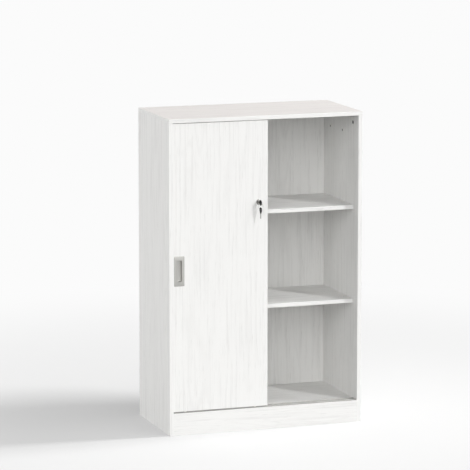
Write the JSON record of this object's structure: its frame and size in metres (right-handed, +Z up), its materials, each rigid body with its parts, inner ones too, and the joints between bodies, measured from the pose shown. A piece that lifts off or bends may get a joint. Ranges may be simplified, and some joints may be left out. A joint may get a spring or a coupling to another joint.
{
  "type": "sliding door cabinet",
  "caption": "White wood-grain cabinet with sliding doors on a double track, flush pulls, inner shelves, a plinth, and a door lock with a key and a spare on a ring.",
  "frame": {"origin": "on the floor, at the middle of the cabinet's front edge", "axes": "+X to the cabinet's right as seen from the front, +Y to the back, +Z up"},
  "size_m": [0.8, 0.4311, 1.25],
  "materials": {
    "top_board": "bleached wood-grain melamine, satin",
    "white_board": "bleached wood-grain melamine, satin",
    "door_board": "bleached wood-grain melamine, satin",
    "back_board": "bleached wood-grain foil on hardboard, satin",
    "nickel_steel": "nickel plated",
    "rail_aluminium": "anodised, satin",
    "channel_plastic": "extruded, matte",
    "zinc_steel": "zinc plated",
    "dark_zinc": "die cast, dark",
    "satin_nickel": "satin nickel",
    "grey_plastic": "moulded, matte",
    "wheel_nylon": "nylon, matte",
    "lock_nickel": "nickel plated, satin",
    "key_plastic": "moulded, semi-gloss",
    "key_steel": "nickel plated",
    "ring_steel": "polished"
  },
  "bodies": {
    "carcass": {"top_panel": "top_board", "left_side_panel": "white_board", "right_side_panel": "white_board", "bottom_panel": "white_board", "front_plinth": "white_board", "rear_plinth": "white_board", "back_panel": "back_board", "upper_shelf": "white_board", "lower_shelf": "white_board", "shelf_supports": "nickel_steel", "bottom_track": "rail_aluminium", "top_track": "channel_plastic", "cam_fittings": "dark_zinc"},
    "front_door": {"front_door_panel": "door_board", "front_door_pull": "satin_nickel", "front_wheel_housings": "grey_plastic", "front_wheel_axles": "zinc_steel", "front_top_guides": "grey_plastic", "lock_housing": "lock_nickel", "lock_nut": "zinc_steel"},
    "rear_door": {"rear_door_panel": "door_board", "rear_door_pull": "satin_nickel", "rear_wheel_housings": "grey_plastic", "rear_wheel_axles": "zinc_steel", "rear_top_guides": "grey_plastic", "strike_pin": "zinc_steel"},
    "front_left_wheel": {"front_left_wheel": "wheel_nylon"},
    "front_right_wheel": {"front_right_wheel": "wheel_nylon"},
    "rear_left_wheel": {"rear_left_wheel": "wheel_nylon"},
    "rear_right_wheel": {"rear_right_wheel": "wheel_nylon"},
    "lock_cylinder": {"lock_plug": "lock_nickel", "lock_arm": "zinc_steel", "arm_screw": "zinc_steel", "lock_key_head": "key_plastic", "lock_key_blade": "key_steel"},
    "key_ring": {"key_ring": "ring_steel"},
    "spare_key": {"spare_key_head": "key_plastic", "spare_key_blade": "key_steel"}
  },
  "joints": [
    {"name": "front_door_slide", "type": "slide", "parent": "carcass", "child": "front_door", "axis": [1, 0, 0], "range_m": [0, 0.377]},
    {"name": "rear_door_slide", "type": "slide", "parent": "carcass", "child": "rear_door", "axis": [1, 0, 0], "range_m": [0, 0.377]},
    {"name": "front_left_wheel_spin", "type": "hinge", "parent": "front_door", "child": "front_left_wheel", "pos_m": [-0.3335, 0.012, 0.0997], "axis": [0, 1, 0], "range_deg": [0, 3087]},
    {"name": "front_right_wheel_spin", "type": "hinge", "parent": "front_door", "child": "front_right_wheel", "pos_m": [-0.0435, 0.012, 0.0997], "axis": [0, 1, 0], "range_deg": [0, 3087]},
    {"name": "rear_left_wheel_spin", "type": "hinge", "parent": "rear_door", "child": "rear_left_wheel", "pos_m": [-0.3335, 0.036, 0.0997], "axis": [0, 1, 0], "range_deg": [0, 3087]},
    {"name": "rear_right_wheel_spin", "type": "hinge", "parent": "rear_door", "child": "rear_right_wheel", "pos_m": [-0.0435, 0.036, 0.0997], "axis": [0, 1, 0], "range_deg": [0, 3087]},
    {"name": "lock_turn", "type": "hinge", "parent": "front_door", "child": "lock_cylinder", "pos_m": [-0.0315, 0, 0.91], "axis": [0, -1, 0], "range_deg": [0, 90]},
    {"name": "key_ring_hang", "type": "hinge", "parent": "lock_cylinder", "child": "key_ring", "pos_m": [-0.0315, -0.0201, 0.9015], "axis": [0, -1, 0], "range_deg": [-90, 0]},
    {"name": "spare_key_swing", "type": "hinge", "parent": "key_ring", "child": "spare_key", "pos_m": [-0.0315, -0.0201, 0.88615], "axis": [1, 0, 0], "range_deg": [-60, 30]}
  ],
  "couplings": [
    {"joint": "front_left_wheel_spin", "follows": "front_door_slide", "rad_per_m": 142.86},
    {"joint": "front_right_wheel_spin", "follows": "front_door_slide", "rad_per_m": 142.86},
    {"joint": "rear_left_wheel_spin", "follows": "rear_door_slide", "rad_per_m": 142.86},
    {"joint": "rear_right_wheel_spin", "follows": "rear_door_slide", "rad_per_m": 142.86},
    {"joint": "key_ring_hang", "follows": "lock_turn", "ratio": -1}
  ]
}
